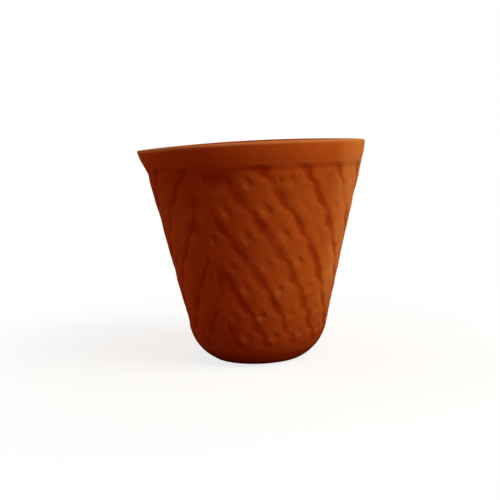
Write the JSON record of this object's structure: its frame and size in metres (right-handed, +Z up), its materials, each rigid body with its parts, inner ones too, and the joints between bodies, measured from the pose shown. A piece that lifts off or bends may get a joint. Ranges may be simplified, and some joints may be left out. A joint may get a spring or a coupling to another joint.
{
  "type": "clay kulhad cup",
  "caption": "Small handleless terracotta tea cup, tapered and round-heeled, with a plain rim band over a wall pressed with slanted bands and pits.",
  "frame": {"origin": "centre of the cup's foot, on the table", "axes": "+Z up the cup's axis to the mouth, -Y towards the front seam of the wall, where the slant of the pressed bands turns over"},
  "size_m": [0.08, 0.08, 0.076],
  "materials": {
    "terracotta": "satin, unglazed fired clay"
  },
  "bodies": {
    "root": {"base_slab": "terracotta", "wall_panel_right": "terracotta", "wall_panel_left": "terracotta", "rim_band": "terracotta"}
  },
  "joints": []
}
